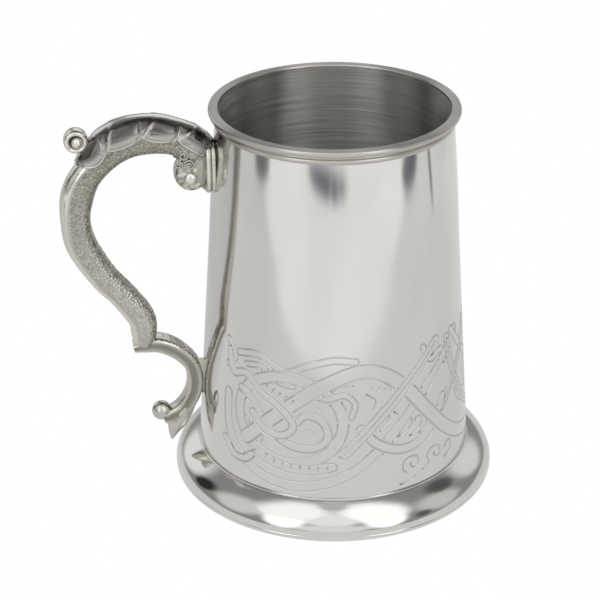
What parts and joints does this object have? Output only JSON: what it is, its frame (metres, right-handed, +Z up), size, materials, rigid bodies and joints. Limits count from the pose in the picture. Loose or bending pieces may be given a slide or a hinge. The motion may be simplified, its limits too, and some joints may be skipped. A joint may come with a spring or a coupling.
{
  "type": "pewter tankard",
  "caption": "Tapered drinking tankard with a rolled lip, spreading foot, engraved knotwork band and a cast double-scroll side handle capped by a leaf.",
  "frame": {"origin": "centre of the circle that the foot stands on, on the vessel's own axis", "axes": "+Z up along the vessel's axis, -X towards the handle, Y across the handle"},
  "size_m": [0.1384, 0.1048, 0.126],
  "materials": {
    "polished_pewter": "hand-polished pewter",
    "satin_pewter": "satin pewter with fine turning lines",
    "cast_pewter": "cast pewter, polished on its high parts and stippled in its hollows",
    "solder": "cleaned solder"
  },
  "bodies": {
    "root": {"drum_wall": "polished_pewter", "lip_ring": "satin_pewter", "drum_floor": "satin_pewter", "floor_seam": "solder", "foot_skirt": "polished_pewter", "foot_ring": "polished_pewter", "foot_seam": "solder", "handle_collar": "cast_pewter", "handle_scroll": "cast_pewter", "leaf_cap": "cast_pewter", "thumb_volute": "cast_pewter", "volute_pearls": "cast_pewter", "upper_boss": "cast_pewter", "boss_pearls": "cast_pewter", "lower_scroll": "cast_pewter", "ball_finial": "cast_pewter", "lower_lug": "cast_pewter", "pointed_tail": "cast_pewter"}
  },
  "joints": []
}
